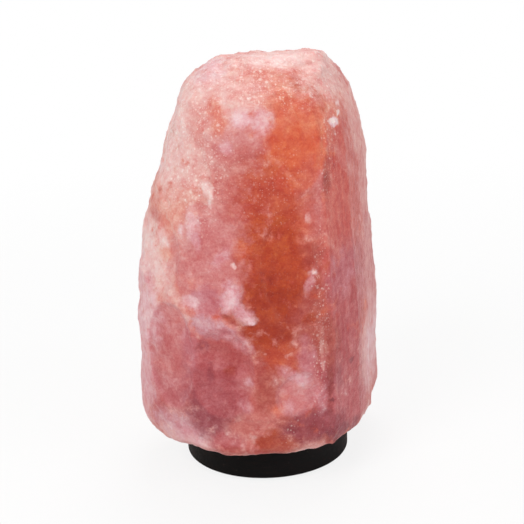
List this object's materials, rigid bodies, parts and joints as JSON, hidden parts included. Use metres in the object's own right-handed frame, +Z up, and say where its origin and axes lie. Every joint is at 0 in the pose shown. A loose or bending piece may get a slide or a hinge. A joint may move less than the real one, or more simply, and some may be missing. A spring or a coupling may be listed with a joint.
{
  "type": "salt crystal lamp",
  "caption": "Table lamp made of a carved lump of pink rock salt on a round black wooden base, lit from inside by a small screw bulb in a holder that pulls out from below.",
  "frame": {"origin": "on the table under the middle of the round base, on the bulb's axis", "axes": "+Z up along the bulb's axis; the front, which the picture shows, faces -Y; +X to the right; the cord inlet and groove face +Y"},
  "size_m": [0.1473, 0.1347, 0.246],
  "materials": {
    "salt": "satin",
    "base_wood": "satin",
    "rubber": "matte",
    "zinc_steel": "satin",
    "holder_body": "satin",
    "cover_plastic": "satin",
    "brass": "polished",
    "carrier": "satin",
    "cap_metal": "satin",
    "black_glass": "gloss",
    "solder": "satin",
    "bulb_glass": "gloss",
    "stem_glass": "gloss",
    "tungsten": "satin"
  },
  "bodies": {
    "lamp": {"salt_crystal": "salt", "wooden_base": "base_wood", "base_screws": "zinc_steel", "rubber_feet": "rubber"},
    "holder": {"holder_plate": "zinc_steel", "holder_sleeve": "holder_body", "ring_nut": "holder_body", "terminal_cap": "cover_plastic", "cap_screws": "zinc_steel", "cord_bush": "rubber", "contact_carrier": "carrier", "screw_shell": "brass", "centre_contact": "brass", "contact_rivets": "brass", "terminal_blocks": "brass", "terminal_screws": "zinc_steel"},
    "bulb_foot": {"bulb_insulator": "black_glass", "bulb_tip": "solder"},
    "bulb": {"bulb_cap": "cap_metal", "bulb_glass": "bulb_glass", "bulb_stem": "stem_glass", "bulb_leads": "tungsten", "bulb_filament": "tungsten"},
    "clip_1": {"spring_clip_1": "zinc_steel", "clip_rivet_1": "zinc_steel"},
    "clip_2": {"spring_clip_2": "zinc_steel", "clip_rivet_2": "zinc_steel"},
    "clip_3": {"spring_clip_3": "zinc_steel", "clip_rivet_3": "zinc_steel"}
  },
  "joints": [
    {"name": "holder_slide", "type": "slide", "parent": "lamp", "child": "holder", "axis": [0, 0, -1], "range_m": [0, 0.095]},
    {"name": "clip_1_flex", "type": "hinge", "parent": "holder", "child": "clip_1", "pos_m": [0, 0.017, 0.017], "axis": [1, 0, 0], "range_deg": [0, 6], "stiffness_Nm_per_rad": 0.2, "springref_deg": -4.98},
    {"name": "clip_2_flex", "type": "hinge", "parent": "holder", "child": "clip_2", "pos_m": [-0.01472, -0.0085, 0.017], "axis": [-0.5, 0.866, 0], "range_deg": [0, 6], "stiffness_Nm_per_rad": 0.2, "springref_deg": -4.98},
    {"name": "clip_3_flex", "type": "hinge", "parent": "holder", "child": "clip_3", "pos_m": [0.01472, -0.0085, 0.017], "axis": [-0.5, -0.866, 0], "range_deg": [0, 6], "stiffness_Nm_per_rad": 0.2, "springref_deg": -4.98},
    {"name": "bulb_rise", "type": "slide", "parent": "holder", "child": "bulb_foot", "axis": [0, 0, 1], "range_m": [0, 0.0142]},
    {"name": "bulb_turn", "type": "hinge", "parent": "bulb_foot", "child": "bulb", "pos_m": [0, 0, 0.035], "axis": [0, 0, 1], "range_deg": [0, 1800]}
  ],
  "couplings": [
    {"joint": "bulb_rise", "follows": "bulb_turn", "m_per_rad": 0.00044913}
  ]
}
